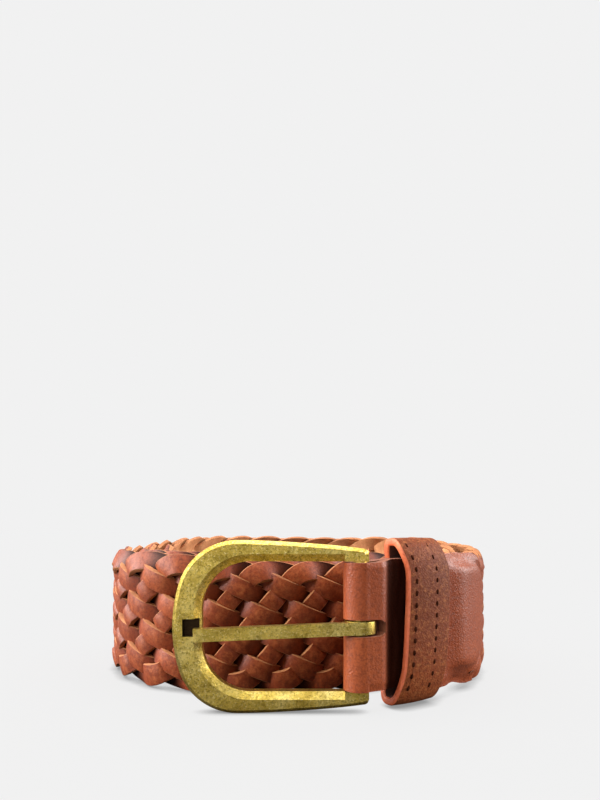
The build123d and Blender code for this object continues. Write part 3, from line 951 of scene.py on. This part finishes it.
def tip_stitches():
    """A row of stitches in the groove that follows the tip's rounded end."""
    half, runs = TIP_HALF - TIP_GROOVE, []
    for i in range(TIP_STITCHES):
        a = math.radians(-84 + 168 * i / (TIP_STITCHES - 1))
        ends = []
        for b in (a - 0.5 * STITCH_L / half, a + 0.5 * STITCH_L / half):
            s = BELT_END - TIP_ROUND + (TIP_ROUND - TIP_GROOVE) * math.cos(b)
            ends.append(place(s, tip_skin(s) - 0.15, TIP_MID_Z + half * math.sin(b)))
        runs.append(tuple(ends))
    stitches("tip_thread", runs, 0.26, THREAD, "strap", ["tip_stitching"])


def tip():
    """The belt's sewn end, inside the coil."""
    tip_layer("tip_front_leather", 1, "tip_tab_front")
    tip_layer("tip_back_leather", -1, "tip_tab_back")
    tip_stitches()


# ---------------------------------------------------------------- carried-over CAD nodes

BRASS_NODES = ("buckle_frame", "buckle_bar", "tongue")


def finish_metal():
    """Brass with softly worn edges on the nodes carried over from CAD."""
    for name in BRASS_NODES:
        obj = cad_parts[name]
        for s in obj.material_slots:
            s.material = BRASS
        weld = obj.modifiers.new("weld", "WELD")
        weld.merge_threshold = 0.005 * MM
        bevel = obj.modifiers.new("worn_edges", "BEVEL")
        bevel.width = 0.7 * MM
        bevel.segments = 4
        bevel.limit_method = "ANGLE"
        bevel.angle_limit = math.radians(18)
        bevel.harden_normals = True


# ---------------------------------------------------------------- stage, light and camera

WHITE = 0.88
FLOOR_SEEN, FLOOR_BOUNCE, FLOOR_GLOW = 0.07, 0.30, 0.82
FLOOR_SIZE = 30.0
CONTACT_REACH = 0.005
DOME = [(0.0, (0.20, 0.20, 0.20)), (0.5, (0.8, 0.8, 0.8)), (1.0, (1.6, 1.6, 1.6))]
FRONT_DIM = 0.12
CAMERA_SPOT = (0.001, -0.22293, 0.045)
SENSOR, FOCAL_LENGTH, CAMERA_SHIFT = 36.0, 29.25, 0.1625


def studio(leather_parts, near_leather, brass):
    """Soft boxes left, right and above, and a weak card in front that lifts only what stands forward."""
    floor_plane()
    world_light()
    for name, spot, angle, strength, receivers in (
            ("left_box", (-0.95, -0.06, 0.42), 55.0, 8.0, leather_parts),
            ("left_strip", (-0.95, -0.30, 0.42), 70.0, 3.0, brass),
            ("right_box", (0.95, 0.06, 0.36), 45.0, 4.6, leather_parts + brass),
            ("top_box", (-0.15, -0.05, 1.0), 40.0, 1.5, leather_parts + brass),
            ("front_card", (-0.30, -1.0, 0.45), 60.0, 1.1, near_leather + brass)):
        group = bpy.data.collections.new(name)
        for obj in receivers:
            group.objects.link(obj)
        sun(name, spot, angle, strength).light_linking.receiver_collection = group


def floor_plane():
    """Pale floor with a dark soft line of shadow close under the belt. It sends little light back."""
    bpy.ops.mesh.primitive_plane_add(size=FLOOR_SIZE, location=(0, 0, 0))
    floor = bpy.context.object
    floor.name = "floor"
    mat, nt, bsdf = new_material("pale_floor")
    seen = node(nt, "ShaderNodeLightPath").outputs["Is Camera Ray"]
    near = node(nt, "ShaderNodeAmbientOcclusion", {"Distance": CONTACT_REACH}).outputs["AO"]
    nt.links.new(mixed(nt, seen, (FLOOR_BOUNCE,) * 3, (FLOOR_SEEN,) * 3), bsdf.inputs["Base Color"])
    bsdf.inputs["Roughness"].default_value = 1.0
    bsdf.inputs["Specular IOR Level"].default_value = 0.0
    bsdf.inputs["Emission Color"].default_value = (1, 1, 1, 1)
    glow = product(nt, span(nt, seen, 0.0, 1.0, 0.0, FLOOR_GLOW), span(nt, near, 0.15, 0.75, 0.35, 1.0))
    nt.links.new(glow, bsdf.inputs["Emission Strength"])
    floor.data.materials.append(mat)


def world_light():
    """Pale background to the camera. Other rays see a studio that is bright overhead and dim in front."""
    world = bpy.data.worlds.new("studio")
    bpy.context.scene.world = world
    world.use_nodes = True
    nt = world.node_tree
    split = node(nt, "ShaderNodeSeparateXYZ")
    nt.links.new(node(nt, "ShaderNodeTexCoord").outputs["Generated"], split.inputs["Vector"])
    dome = ramp(nt, span(nt, split.outputs["Z"], 0.0, 1.0), DOME)
    front = span(nt, split.outputs["Y"], -0.9, 0.1, FRONT_DIM, 1.0)
    dome = mixed(nt, front, (0.0, 0.0, 0.0), dome)
    seen = node(nt, "ShaderNodeLightPath").outputs["Is Camera Ray"]
    nt.links.new(mixed(nt, seen, dome, (WHITE, WHITE, WHITE)), nt.nodes["Background"].inputs["Color"])


def sun(name, spot, angle, strength):
    """Soft light from the direction of spot. A wider angle makes it softer."""
    light = bpy.data.lights.new(name, "SUN")
    light.energy = strength
    light.angle = math.radians(angle)
    obj = bpy.data.objects.new(name, light)
    bpy.context.collection.objects.link(obj)
    obj.rotation_mode = "QUATERNION"
    obj.rotation_quaternion = Vector(spot).to_track_quat("Z", "Y")
    return obj


def camera():
    """Level camera close in front of the buckle, with the belt low in the picture."""
    cam = bpy.data.cameras.new("camera")
    obj = bpy.data.objects.new("camera", cam)
    bpy.context.collection.objects.link(obj)
    bpy.context.scene.camera = obj
    obj.location = CAMERA_SPOT
    obj.rotation_euler = (math.radians(90), 0, 0)
    cam.sensor_width = SENSOR
    cam.lens = FOCAL_LENGTH
    cam.shift_y = CAMERA_SHIFT


# ---------------------------------------------------------------- the belt

laces = [lace(i) for i in range(LACES)]
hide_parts("braid_outer_turn", "braid_middle_turn", "braid_inner_turn")
tab = chape()
chape_stitches()
keeper_parts = [keeper(), *keeper_stitches()]
tip()
finish_metal()
brass_nodes = [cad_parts[n] for n in BRASS_NODES]
studio([o for o in bpy.context.scene.objects if o.type == "MESH" and o not in brass_nodes],
       [tab, *keeper_parts], brass_nodes)
camera()
bpy.context.scene.view_settings.view_transform = "Standard"
